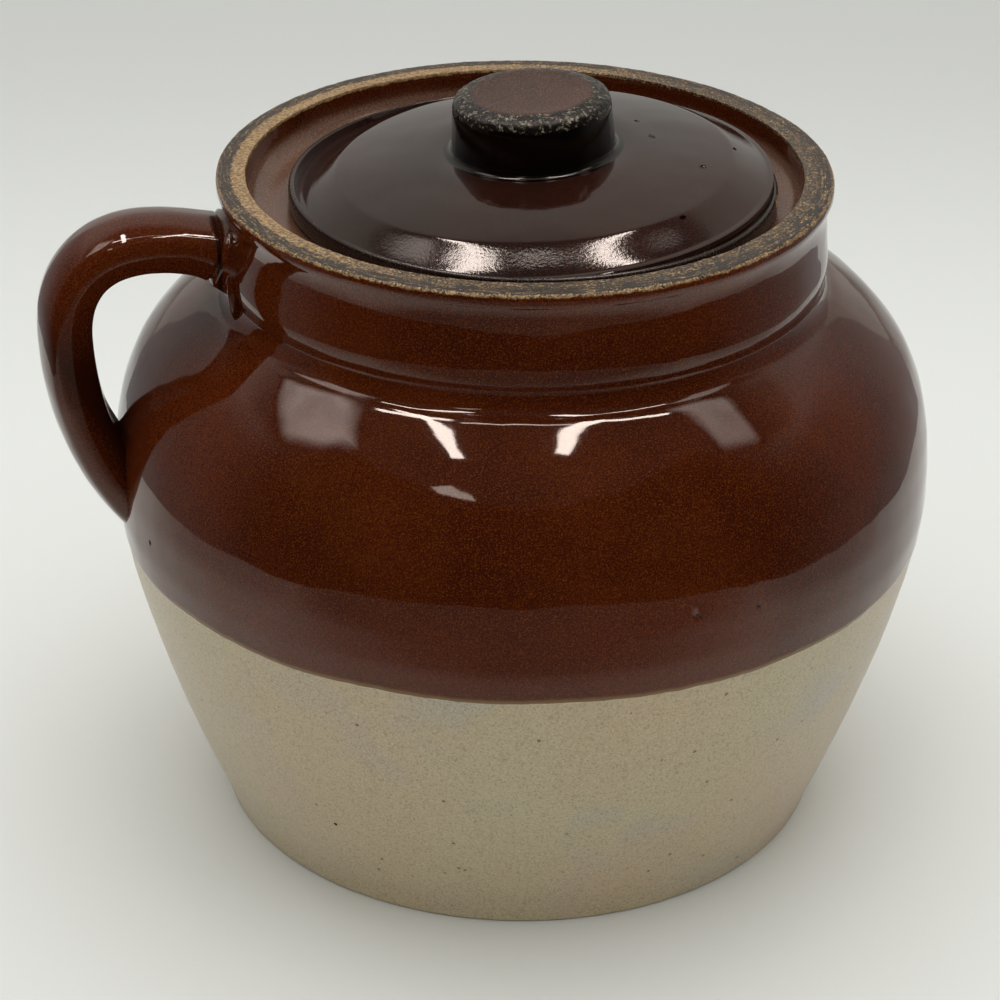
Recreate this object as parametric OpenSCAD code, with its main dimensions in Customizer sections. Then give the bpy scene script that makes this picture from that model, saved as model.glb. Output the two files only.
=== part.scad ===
// Stoneware bean pot: a round-bellied jar with a short neck, a strap handle on one side
// and a loose inset lid with a turned knob. Brown slip glaze above, pale body below.
// The origin is on the table, on the axis of the pot. +Z is up and the handle points to -X.
// Profiles are [radius, height] pairs in millimetres.

/* [Pot] */
// Width of the flat foot
foot_d = 164; // [150:1:176]
// Width of the belly at its widest
belly_d = 216; // [204:1:228]
// Height of the widest ring above the table
belly_h = 92; // [84:1:98]
// Height where the shoulder meets the neck
shoulder_h = 147.5; // [142:0.5:151]
// Height of the rim above the table
pot_h = 177; // [174:0.5:186]
// Thickness of the side wall
wall = 8.2; // [6:0.1:10]
// Thickness of the floor
floor_t = 10; // [7:0.5:13]
// Rounding of the foot's outer edge
foot_round = 1.6; // [0.8:0.1:3]
// Rounding inside, where the wall meets the floor
floor_round = 16; // [8:1:22]
// Height of the edge of the brown glaze
glaze_h = 82.5; // [60:0.5:88]

/* [Wall curves] */
// Outward lean of the wall where it leaves the foot, in millimetres per millimetre of height
foot_lean = 0.43; // [0.3:0.01:0.5]
// How far the foot's straight lean carries up the wall
foot_pull = 30; // [20:1:38]
// How far the belly stays upright below its widest ring
belly_pull_low = 18; // [12:1:26]
// How far the belly stays upright above its widest ring
belly_pull_high = 31; // [24:1:34]
// Inward lean of the shoulder where it reaches the neck
shoulder_lean = 1.6; // [1.2:0.05:2]
// How far the shoulder's lean carries back from the neck
shoulder_pull = 13; // [9:0.5:16]
// Rounding in the corner between the shoulder and the neck
neck_fillet = 4.5; // [2:0.5:7]

/* [Neck and rim] */
// Width of the neck at its root
neck_d = 155.6; // [150:0.2:158]
// Width over the rim
rim_d = 158; // [154:0.5:162]
// Thickness of the rim, measured across its flat top
rim_w = 8.4; // [6:0.1:10]
// Depth of the soft waist under the lip
neck_waist = 2.2; // [0:0.1:3]
// Height of the lip above the waist curve
lip_h = 3; // [2:0.1:5]
// Rounding of the rim's outer edge
rim_round = 1.6; // [0.6:0.1:2.4]

/* [Lid seat] */
// Depth of the lid's ledge below the rim
seat_depth = 9.3; // [8:0.1:12]
// Width of the throat, which is the hole inside the ledge
throat_d = 115; // [108:1:117]
// Height of the throat's upright wall
throat_h = 6; // [4:0.5:9]
// Rounding of the ledge's upper edge
throat_round = 1; // [0.5:0.1:2]
// Rounding of the ledge's lower edge
ledge_round = 2; // [1:0.1:3]
// Rounding between the ledge and the wall of the neck
seat_cove = 6; // [4:0.2:7]

/* [Lid] */
// Width of the lid
lid_d = 125; // [122:0.5:127]
// Thickness of the lid at its raised edge
lid_edge_t = 5.2; // [4:0.1:7]
// Depth of the channel between the raised edge and the crown
channel_depth = 1.3; // [0.6:0.1:2.5]
// Width of the raised edge
bead_w = 3.4; // [2:0.1:5]
// Rounding of the lid's edge
lid_round = 1.8; // [1:0.1:2.4]
// Width of the crown where it rises out of the lid
crown_foot_d = 111.8; // [108:0.2:114]
// Width of the crown at the crease where its side turns into its top
crown_d = 101.6; // [96:0.2:106]
// Height of the crease above the lid's underside
crown_h = 10.1; // [8:0.1:13]
// Height of the crown's flat land above the lid's underside
land_h = 13.9; // [11:0.1:17]
// Lean of the crown and the knob, as this hand-finished lid has it
crown_lean = 3; // [0:0.1:4]
// Distance by which the loose lid rests off centre
lid_shift = 2.2; // [0:0.1:2.4]
// Thickness of the crown over the hollow underside
crown_t = 6.5; // [5:0.1:8]
// Bevel round the top of the hollow underside
hollow_bevel = 3; // [1:0.5:3]
// Depth of the ring that reaches into the throat
spigot_h = 3.4; // [2:0.1:6]
// Thickness of that ring
spigot_w = 6; // [4:0.1:9]

/* [Lid curves] */
// Pull on the side of the crown where it rises, as [outwards, upwards]
crown_foot_pull = [-1, 5.6]; // [-3:0.1:7]
// Pull on the crease down the side, as [outwards, upwards]
crease_pull_down = [2.2, -1.6]; // [-3:0.1:4]
// Pull on the crease in over the top, as [outwards, upwards]
crease_pull_in = [-8, 1.9]; // [-10:0.1:3]
// Pull on the edge of the flat land outwards
land_pull = 8; // [2:0.5:10]

/* [Knob] */
// Width of the knob at the top
knob_d = 40.2; // [34:0.2:44]
// Width of the knob above its fillet
knob_foot_d = 41.6; // [36:0.2:46]
// Height of the knob
knob_h = 15; // [10:0.1:20]
// Height of the worn bevel round the knob's top
knob_bevel_h = 2.4; // [1:0.1:4]
// Width of the worn bevel round the knob's top
knob_bevel_w = 3.8; // [1:0.1:6]
// Depth of the dish in the knob's top
knob_dish = 0.5; // [0:0.1:1.5]
// Size of the clay fillet that joins the knob to the lid
knob_fillet = 2.8; // [1.5:0.1:4]

/* [Handle] */
// Width of the strap
strap_w = 23.5; // [20:0.5:28]
// Thickness of the strap
strap_t = 14.2; // [10:0.2:15]
// Height of the middle of the strap at the top of its arch
arch_h = 165.5; // [160:0.5:169]
// Distance from the neck's wall out to the top of the arch
arch_out = 19.2; // [14:0.2:24]
// Distance by which the middle of the strap, at its farthest, stands out beyond the belly
handle_out = 11; // [7:0.5:18]
// Height at which the strap is farthest out
handle_side_h = 143; // [136:0.5:148]
// Height of the middle of the strap where it enters the neck
root_h = 160; // [156:0.5:162]
// Height of the middle of the strap where it enters the belly
tail_h = 90.5; // [86:0.5:93]
// Extra width of the strap where its ends spread onto the pot
root_spread_w = 6; // [0:0.5:9]
// Extra thickness of the strap where its ends spread onto the pot
root_spread_t = 5; // [0:0.5:8]

/* [Handle curves] */
// Pull on the strap where it leaves the neck, as [outwards, upwards]
root_pull = [8, 3]; // [0:0.5:14]
// Pull on the top of the arch towards the neck
arch_pull_in = 9; // [4:0.5:12]
// Pull on the top of the arch away from the pot
arch_pull_out = 13; // [9:0.5:16]
// Pull on the farthest point of the strap upwards
side_pull_up = 15; // [10:0.5:18]
// Pull on the farthest point of the strap downwards
side_pull_down = 21; // [14:0.5:27]
// Pull on the strap where it enters the belly, as [outwards, upwards]
tail_pull = [16, 13]; // [8:0.5:20]

/* [Clearances] */
// Gap under the resting lid
seat_gap = 0.3; // [0.2:0.05:0.6]
// Room on each side between the lid's ring and the throat
throat_play = 3; // [2.7:0.1:4]
// Width of the flat land beyond the knob's fillet
land_margin = 0.4; // [0.2:0.1:2]

/* [Hidden] */
$fn = 96;
curve_n = 18;      // steps in each long curve
round_n = 6;       // steps in each small rounding
ring_n = 11;       // rings in each of the handle's three stretches
side_n = 24;       // points round the strap
outer_power = 2.2; // roundness of the strap's outer face
inner_power = 3.4; // flatness of the strap's inner face
root_depth = 4;    // how far the strap starts inside the neck, before it is trimmed
tail_depth = 10;   // how far it ends inside the belly, before it is trimmed
blend_share = 0.2; // share of the handle's length over which an end spreads
bury = 1;          // overlap of two pieces of one solid
dish_step = 1;     // flat width between the knob's bevel and its dish

foot_r = foot_d / 2;
belly_r = belly_d / 2;
neck_r = neck_d / 2;
rim_r = rim_d / 2;
rim_in_r = rim_r - rim_w;
neck_in_r = neck_r - wall;
seat_h = pot_h - seat_depth;
throat_r = throat_d / 2;
throat_low = seat_h - throat_h;
lid_r = lid_d / 2;
lid_z = seat_h + seat_gap;
land_r = knob_foot_d / 2 + knob_fillet + land_margin;
spigot_r = throat_r - throat_play;

// Points on a cubic curve through p[0] and p[3], pulled towards p[1] and p[2].
function cubic(p, n) = [for (i = [0:n]) let (t = i / n, s = 1 - t)
    s * s * s * p[0] + 3 * s * s * t * p[1] + 3 * s * t * t * p[2] + t * t * t * p[3]];
// Points that round the corner c on the way from a to b.
function corner(a, c, b, n) = [for (i = [0:n]) let (t = i / n, s = 1 - t)
    s * s * a + 2 * s * t * c + t * t * b];

// The pot's outer wall, set in by d, from low on the wall to the neck.
function low_wall(d, z0) = cubic([
    [foot_r - d + foot_lean * (z0 - foot_round), z0],
    [foot_r - d + foot_lean * (z0 - foot_round + foot_pull), z0 + foot_pull],
    [belly_r - d, belly_h - belly_pull_low],
    [belly_r - d, belly_h]], curve_n);
function high_wall(d, end) = cubic([
    [belly_r - d, belly_h],
    [belly_r - d, belly_h + belly_pull_high],
    [end[0] + shoulder_lean * shoulder_pull, end[1] - shoulder_pull],
    end], curve_n);

neck_root = [neck_r, shoulder_h];
fillet_start = neck_root + neck_fillet * [shoulder_lean, -1] / norm([shoulder_lean, 1]);
fillet_end = neck_root + [0, neck_fillet];
neck_third = (pot_h - lip_h - fillet_end[1]) / 3;

outer_profile = concat(
    corner([foot_r - foot_round, 0], [foot_r, 0], [foot_r, foot_round], round_n),
    low_wall(0, foot_round),
    high_wall(0, fillet_start),
    corner(fillet_start, neck_root, fillet_end, round_n),
    cubic([fillet_end, [neck_r + neck_waist, fillet_end[1] + neck_third],
        [neck_r - neck_waist, pot_h - lip_h - neck_third], [rim_r, pot_h - lip_h]], curve_n),
    corner([rim_r, pot_h - rim_round], [rim_r, pot_h], [rim_r - rim_round, pot_h], round_n));

// The seat for the lid: from the rim's inner edge down to the ledge, the throat and its underside.
seat_profile = concat(
    corner([rim_in_r + rim_round / 2, pot_h], [rim_in_r, pot_h],
        [rim_in_r, pot_h - rim_round / 2], round_n),
    corner([rim_in_r, seat_h + seat_cove], [rim_in_r, seat_h],
        [rim_in_r - seat_cove, seat_h], round_n),
    corner([throat_r + throat_round, seat_h], [throat_r, seat_h],
        [throat_r, seat_h - throat_round], round_n),
    corner([throat_r, throat_low], [throat_r, throat_low - ledge_round],
        [throat_r + ledge_round, throat_low - 2 * ledge_round], round_n));

// The hollow: under the ledge, behind the shoulder, down the belly and across the floor.
neck_in_end = [neck_in_r, shoulder_h - wall / 2];
floor_corner = [foot_r - wall + foot_lean * (floor_t - foot_round), floor_t];
hollow_low = low_wall(wall, floor_t + floor_round);
hollow_profile = concat(
    [[neck_in_r, throat_low - ledge_round - (neck_in_r - throat_r)]],
    [for (i = [curve_n:-1:0]) high_wall(wall, neck_in_end)[i]],
    [for (i = [curve_n - 1:-1:1]) hollow_low[i]],
    corner(hollow_low[0], floor_corner, floor_corner - [floor_round, 0], round_n));

pot_profile = concat([[0, 0]], outer_profile, seat_profile, hollow_profile, [[0, floor_t]]);
reach = belly_r + 1;

module revolve(points) {
    rotate_extrude() polygon(points);
}

// The part of a profile between two heights.
module band(points, low, high) {
    rotate_extrude() intersection() {
        polygon(points);
        translate([0, low]) square([reach, high - low]);
    }
}

module pot_body() {
    color("#d6c8a8") band(pot_profile, 0, glaze_h);
    color("#4a1c10") band(pot_profile, glaze_h, pot_h);
}

// Middle line of the strap in the handle's plane: up from the neck, over the arch, down the side.
root_end = [neck_r - root_depth, root_h];
arch_top = [neck_r + arch_out, arch_h];
side_out = [belly_r + handle_out, handle_side_h];
tail_end = [belly_r - tail_depth, tail_h];
strap_line = concat(
    cubic([root_end, root_end + root_pull, arch_top - [arch_pull_in, 0], arch_top], ring_n),
    cubic([arch_top, arch_top + [arch_pull_out, 0], side_out + [0, side_pull_up], side_out], ring_n),
    cubic([side_out, side_out - [0, side_pull_down], tail_end + tail_pull, tail_end], ring_n));
// The stretches share their end points, so each shared point is kept once.
strap_path = [for (i = [0:len(strap_line) - 1])
    if (i % (ring_n + 1) != 0 || i == 0) strap_line[i]];
ring_count = len(strap_path);

function direction(i) = let (
    a = strap_path[max(i - 1, 0)],
    b = strap_path[min(i + 1, ring_count - 1)]) (b - a) / norm(b - a);
// How much of the spread an end has at ring i: 1 at an end of the strap and 0 along its middle.
function spread(i) = let (
    s = min(i, ring_count - 1 - i) / (ring_count * blend_share),
    k = max(0, 1 - s)) k * k;
function power(x, p) = sign(x) * pow(abs(x), 2 / p);
// One point of the strap's rounded section, as [outwards, sideways].
function strap_point(i, j) = let (
    a = 360 * j / side_n,
    t = strap_t + root_spread_t * spread(i),
    w = strap_w + root_spread_w * spread(i),
    p = cos(a) > 0 ? outer_power : inner_power)
    [t / 2 * power(cos(a), p), w / 2 * power(sin(a), (outer_power + inner_power) / 2)];
function strap_vertex(i, j) = let (
    d = direction(i),
    q = strap_point(i, j))
    [strap_path[i][0] - d[1] * q[0], q[1], strap_path[i][1] + d[0] * q[0]];

strap_points = concat(
    [for (i = [0:ring_count - 1]) for (j = [0:side_n - 1]) strap_vertex(i, j)],
    [[strap_path[0][0], 0, strap_path[0][1]],
     [strap_path[ring_count - 1][0], 0, strap_path[ring_count - 1][1]]]);
first_cap = ring_count * side_n;
last_ring = (ring_count - 1) * side_n;
strap_faces = concat(
    [for (i = [0:ring_count - 2]) for (j = [0:side_n - 1]) let (
        a = i * side_n + j,
        b = i * side_n + (j + 1) % side_n) each [[a, b, a + side_n], [b, b + side_n, a + side_n]]],
    [for (j = [0:side_n - 1]) [first_cap, (j + 1) % side_n, j]],
    [for (j = [0:side_n - 1]) [first_cap + 1, last_ring + j, last_ring + (j + 1) % side_n]]);

module handle() {
    color("#43180d") difference() {
        rotate([0, 0, 180]) polyhedron(strap_points, strap_faces);
        revolve(concat([[0, 0]], outer_profile, [[0, pot_h]]));
    }
}

// The flat ring of the lid, with its raised edge and the channel inside it.
flange_profile = concat(
    corner([lid_r - lid_round, 0], [lid_r, 0], [lid_r, lid_round], round_n),
    corner([lid_r, lid_edge_t - lid_round], [lid_r, lid_edge_t],
        [lid_r - bead_w / 2, lid_edge_t], round_n),
    corner([lid_r - bead_w / 2, lid_edge_t], [lid_r - bead_w, lid_edge_t],
        [lid_r - bead_w - channel_depth, lid_edge_t - channel_depth], round_n));
hollow_r = spigot_r - spigot_w;

// The crown, in its own upright frame: side, crease, top and the flat land for the knob.
crown_foot = [crown_foot_d / 2, 0];
crease = [crown_d / 2, crown_h];
crown_profile = concat(
    cubic([crown_foot, crown_foot + crown_foot_pull, crease + crease_pull_down, crease], round_n),
    cubic([crease, crease + crease_pull_in, [land_r + land_pull, land_h], [land_r, land_h]], curve_n));

// Turns a piece about the middle of the crown's land.
module lean() {
    translate([lid_shift, 0, lid_z + land_h])
        rotate([0, -crown_lean, 0]) translate([0, 0, -land_h]) children();
}

module lid() {
    color("#2e1a15") difference() {
        union() {
            translate([lid_shift, 0, lid_z]) revolve(concat([[0, 0]], flange_profile,
                [[0, lid_edge_t - channel_depth]]));
            translate([lid_shift, 0, lid_z - spigot_h]) cylinder(h = spigot_h + bury, r = spigot_r);
            intersection() {
                lean() translate([0, 0, -spigot_h]) union() {
                    translate([0, 0, spigot_h]) revolve(concat([[0, 0]], crown_profile, [[0, land_h]]));
                    cylinder(h = spigot_h + bury, r = crown_foot_d / 2);
                }
                translate([lid_shift, 0, lid_z]) cylinder(h = 2 * land_h, r = lid_r);
            }
        }
        // The hollow underside follows the crown.
        lean() revolve([[0, -2 * spigot_h], [hollow_r, -2 * spigot_h],
            [hollow_r, crown_h - crown_t - hollow_bevel], [hollow_r - hollow_bevel, crown_h - crown_t],
            [land_r, land_h - crown_t], [0, land_h - crown_t]]);
    }
}

knob_profile = concat(
    [[0, 0]],
    corner([knob_foot_d / 2 + knob_fillet, 0], [knob_foot_d / 2, 0],
        [knob_foot_d / 2, knob_fillet], round_n),
    corner([knob_d / 2, knob_h - knob_bevel_h], [knob_d / 2, knob_h - knob_bevel_h / 3],
        [knob_d / 2 - knob_bevel_w, knob_h], round_n),
    corner([knob_d / 2 - knob_bevel_w - dish_step, knob_h], [knob_d / 4, knob_h - knob_dish],
        [0, knob_h - knob_dish], round_n));

module knob() {
    color("#20100d") lean() translate([0, 0, land_h]) revolve(knob_profile);
}

pot_body();
handle();
lid();
knob();
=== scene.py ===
"""Stoneware bean pot: a glazed jar with a strap handle, a loose lid and a turned knob.

Everything is in metres in the pot's own frame: the origin on the table under the middle
of the pot, +Z up, the handle towards -X. Each sub-assembly is a class that models and
dresses its own pieces, and main() builds them in order.
"""

import logging
import math
from dataclasses import dataclass, replace
from enum import Enum
from typing import Callable, Sequence

import bpy
from mathutils import Matrix, Vector


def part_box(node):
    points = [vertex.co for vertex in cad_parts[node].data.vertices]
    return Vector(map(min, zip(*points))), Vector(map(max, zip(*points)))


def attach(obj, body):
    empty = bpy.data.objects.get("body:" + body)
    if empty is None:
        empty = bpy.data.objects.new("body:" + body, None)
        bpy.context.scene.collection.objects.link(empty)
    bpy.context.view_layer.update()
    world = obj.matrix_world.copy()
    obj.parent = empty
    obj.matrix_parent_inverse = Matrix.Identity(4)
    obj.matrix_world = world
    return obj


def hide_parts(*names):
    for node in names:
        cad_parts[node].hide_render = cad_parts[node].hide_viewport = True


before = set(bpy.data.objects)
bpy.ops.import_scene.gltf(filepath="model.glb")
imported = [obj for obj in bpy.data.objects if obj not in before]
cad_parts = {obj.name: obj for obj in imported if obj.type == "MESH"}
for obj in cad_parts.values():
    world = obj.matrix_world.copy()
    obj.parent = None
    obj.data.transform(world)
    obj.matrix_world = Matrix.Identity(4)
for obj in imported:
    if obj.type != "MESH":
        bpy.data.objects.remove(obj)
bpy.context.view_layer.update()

Point = tuple[float, float]
Place = tuple[float, float, float]
Colour = tuple[float, float, float]
Piece = bpy.types.Object
Material = bpy.types.Material
Socket = bpy.types.NodeSocket

MM = 0.001
MERGE = 1e-6
log = logging.getLogger("bean_pot")


class Body(Enum):
    """The bodies that the pieces ride on."""

    POT = "pot"
    LID = "lid"


class Slot(Enum):
    """Material slot names."""

    POT = "body_clay"
    HANDLE = "brown_glaze"
    LID = "lid_glaze"
    KNOB = "knob_glaze"


# ---------------------------------------------------------------- outlines


def span(low: float, high: float, steps: int) -> list[float]:
    """Evenly spaced values from low to high, both included."""
    return [low + (high - low) * i / steps for i in range(steps + 1)]


def swell(value: float, low: float, high: float) -> float:
    """A smooth rise from 0 at low to 1 at high."""
    t = min(1.0, max(0.0, (value - low) / (high - low)))
    return t * t * (3 - 2 * t)


def beside(at: Point, out: float, up: float) -> Point:
    """The point a step out and up from another."""
    return at[0] + out, at[1] + up


def curve(ends: Sequence[Point], steps: int) -> list[Point]:
    """Points along a curve.

    Args:
        ends: The start, one or two points that pull the curve, and the end.
        steps: How many steps the curve is cut into.

    Returns:
        steps + 1 points, both ends included.
    """
    points = []
    for t in span(0, 1, steps):
        s = 1 - t
        shares = (s * s, 2 * s * t, t * t)
        if len(ends) == 4:
            shares = (s * s * s, 3 * s * s * t, 3 * s * t * t, t * t * t)
        points.append((sum(k * end[0] for k, end in zip(shares, ends)),
                       sum(k * end[1] for k, end in zip(shares, ends))))
    return points


def round_off(corner: Point, before: Point, after: Point, steps: int) -> list[Point]:
    """Points that round a sharp corner off.

    Args:
        corner: The sharp corner.
        before: The step from the corner to where the rounding begins.
        after: The step from the corner to where it ends.
        steps: How many steps it is cut into.

    Returns:
        steps + 1 points, both ends included.
    """
    return curve((beside(corner, *before), corner, beside(corner, *after)), steps)


# ---------------------------------------------------------------- bench work


def put_down_all() -> None:
    """Leaves nothing selected."""
    if bpy.context.mode != "OBJECT":
        bpy.ops.object.mode_set(mode="OBJECT")
    bpy.ops.object.select_all(action="DESELECT")


def take_up(piece: Piece) -> None:
    """Makes a piece the only one selected, and the active one.

    Args:
        piece: The piece.
    """
    put_down_all()
    piece.select_set(True)
    bpy.context.view_layer.objects.active = piece


def select_mesh() -> None:
    """Selects all of the open piece."""
    bpy.ops.mesh.select_all(action="SELECT")


def extrude(step: Place) -> None:
    """Extrudes the selected part of the open piece by a step."""
    bpy.ops.mesh.extrude_region_move(TRANSFORM_OT_translate={"value": step})


def spin(steps: int, angle: float) -> None:
    """Spins all of the open piece about the upright axis."""
    select_mesh()
    bpy.ops.mesh.spin(steps=steps, angle=angle, center=(0, 0, 0), axis=(0, 0, 1))


def close_up() -> None:
    """Merges doubled points of the open piece, turns its faces outwards and leaves edit mode."""
    select_mesh()
    bpy.ops.mesh.remove_doubles(threshold=MERGE)
    bpy.ops.mesh.normals_make_consistent(inside=False)
    bpy.ops.object.mode_set(mode="OBJECT")


def new_plane(name: str, size: float) -> Piece:
    """Lays a level square on the origin.

    Args:
        name: The piece's name.
        size: The length of its sides.

    Returns:
        The new piece.
    """
    put_down_all()
    bpy.ops.mesh.primitive_plane_add(size=size, location=(0, 0, 0))
    plane = bpy.context.active_object
    plane.name = plane.data.name = name
    return plane


def start_point(name: str, place: Place) -> Piece:
    """Starts a piece as a single point, and leaves it open in edit mode.

    Args:
        name: The piece's name.
        place: Where the point goes.

    Returns:
        The new piece, with its object at the origin.
    """
    piece = new_plane(name, MM)
    bpy.ops.object.mode_set(mode="EDIT")
    select_mesh()
    bpy.ops.mesh.merge(type="CENTER")
    bpy.ops.transform.translate(value=place)
    return piece


def spin_outline(name: str, outline: Sequence[Point], steps: int) -> Piece:
    """Draws an outline by extruding a point along it, and spins it about the upright axis.

    Args:
        name: The piece's name.
        outline: (radius, height) points, closed on the axis at both ends.
        steps: How many steps the turn has.

    Returns:
        The closed, outward-facing piece.
    """
    piece = start_point(name, (outline[0][0], 0, outline[0][1]))
    for a, b in zip(outline, outline[1:]):
        extrude((b[0] - a[0], 0, b[1] - a[1]))
    spin(steps, math.tau)
    close_up()
    return piece


def pick_points(piece: Piece, wanted: Callable[[Vector], bool]) -> None:
    """Opens a piece in edit mode with only the wanted points selected.

    Args:
        piece: The piece.
        wanted: Says of a point's place whether it is selected.
    """
    take_up(piece)
    bpy.ops.object.mode_set(mode="EDIT")
    bpy.ops.mesh.select_mode(type="VERT")
    bpy.ops.mesh.select_all(action="DESELECT")
    bpy.ops.object.mode_set(mode="OBJECT")
    for point in piece.data.vertices:
        point.select = wanted(point.co)
    bpy.ops.object.mode_set(mode="EDIT")


@dataclass(frozen=True)
class Lumps:
    """Unevenness in a surface: how deep and how wide its lumps are.

    The last number is the share of the depth that lies below the smooth surface: 1 only
    sinks it, and 0.5 works it in and out alike.
    """

    depth: float
    width: float
    sunk: float = 1.0


def roughen(piece: Piece, lumps: Lumps, share: Callable[[Vector], float]) -> None:
    """Works a piece's surface in and out along its normals.

    Args:
        piece: The piece.
        lumps: The unevenness.
        share: Says of a point's place how strongly it is worked, from 0 to 1.
    """
    take_up(piece)
    group = piece.vertex_groups.new(name="worked")
    for point in piece.data.vertices:
        weight = share(point.co)
        if weight > 0:
            group.add([point.index], weight, "REPLACE")
    clouds = bpy.data.textures.new("lumps", "CLOUDS")
    clouds.noise_scale = lumps.width
    clouds.noise_depth = 2
    push = piece.modifiers.new("work", "DISPLACE")
    push.texture = clouds
    push.texture_coords = "LOCAL"
    push.strength = lumps.depth
    push.mid_level = lumps.sunk
    push.vertex_group = group.name
    bpy.ops.object.modifier_apply(modifier=push.name)
    piece.vertex_groups.remove(piece.vertex_groups["worked"])


def smooth(piece: Piece, degrees: float) -> None:
    """Shades a piece smooth, except across edges sharper than an angle."""
    take_up(piece)
    bpy.ops.object.shade_smooth_by_angle(angle=math.radians(degrees))


class Joining(Enum):
    """Ways to join two pieces, each with its operation, solver and handling of materials."""

    CUT = ("DIFFERENCE", "MANIFOLD", "TRANSFER")
    UNITE = ("UNION", "EXACT", "INDEX")


def combine(piece: Piece, tool: Piece, joining: Joining) -> None:
    """Joins a tool with a piece and clears the tool away.

    Args:
        piece: The piece.
        tool: The closed shape that is cut out of it or united with it.
        joining: Which of the two.
    """
    work = piece.modifiers.new("join", "BOOLEAN")
    work.operation, work.solver, work.material_mode = joining.value
    work.object = tool
    take_up(piece)
    bpy.ops.object.modifier_apply(modifier=work.name)
    bpy.data.objects.remove(tool)


@dataclass(frozen=True)
class Hole:
    """A small hollow in the surface, a burst bubble or a chip, at an azimuth in degrees."""

    azimuth: float
    radius: float
    height: float
    width: float
    depth: float
    stretch: float = 1.0
    rise: float = 1.0


def punch(piece: Piece, holes: Sequence[Hole], inside: Material) -> None:
    """Cuts small hollows into a piece.

    Args:
        piece: The piece.
        holes: The hollows.
        inside: The material that shows in them.
    """
    if inside.name not in piece.data.materials:
        piece.data.materials.append(inside)
    for hole in holes:
        put_down_all()
        bpy.ops.mesh.primitive_ico_sphere_add(subdivisions=3, radius=hole.width / 2,
                                              location=(0, 0, 0))
        cutter = bpy.context.active_object
        cutter.data.materials.append(inside)
        bpy.ops.object.mode_set(mode="EDIT")
        select_mesh()
        bpy.ops.transform.vertex_random(offset=hole.width / 14,
                                        seed=int(abs(hole.azimuth) * 10))
        bpy.ops.transform.resize(value=(2 * hole.depth / hole.width, hole.stretch, hole.rise))
        bpy.ops.object.mode_set(mode="OBJECT")
        turn = math.radians(hole.azimuth)
        at = Vector((hole.radius * math.cos(turn), hole.radius * math.sin(turn), hole.height))
        cutter.data.transform(Matrix.Translation(at) @ Matrix.Rotation(turn, 4, "Z"))
        combine(piece, cutter, Joining.CUT)


def hand_over(piece: Piece, body: Body, node: str) -> None:
    """Puts a finished piece in the place of its CAD node.

    Args:
        piece: The piece.
        body: The body that it rides on.
        node: The CAD node that it stands for.
    """
    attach(piece, body.value)
    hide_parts(node)
    log.info("%s: %d faces, on %s", piece.name, len(piece.data.polygons), body.value)


# ---------------------------------------------------------------- node layouts


class Value:
    """A number or colour under way, whose sums are laid out as Math nodes."""

    def __init__(self, layout: "Layout", socket: Socket) -> None:
        """Takes the socket that gives the value, and the layout that it is in."""
        self.layout = layout
        self.socket = socket

    def __add__(self, other: "Number") -> "Value":
        """The sum of both."""
        return self.layout.sums("ADD", self, other)

    def __sub__(self, other: "Number") -> "Value":
        """This less the other."""
        return self.layout.sums("SUBTRACT", self, other)

    def __rsub__(self, other: "Number") -> "Value":
        """The other less this."""
        return self.layout.sums("SUBTRACT", other, self)

    def __mul__(self, other: "Number") -> "Value":
        """Both multiplied."""
        return self.layout.sums("MULTIPLY", self, other)

    def __truediv__(self, other: "Number") -> "Value":
        """This divided by the other."""
        return self.layout.sums("DIVIDE", self, other)

    def __abs__(self) -> "Value":
        """This without its sign."""
        return self.layout.sums("ABSOLUTE", self)


Number = Value | float
Tint = Value | Colour
Input = Value | float | Sequence[float]


@dataclass(frozen=True)
class Surface:
    """The look of one finish before it is shaded, with its relief in metres."""

    colour: Tint
    gloss: Number
    relief: Number


@dataclass(frozen=True)
class Coat:
    """A colour that comes up where a pattern goes from low to high, at most by its share."""

    pattern: Value
    low: float
    high: float
    share: float
    colour: Colour


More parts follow.
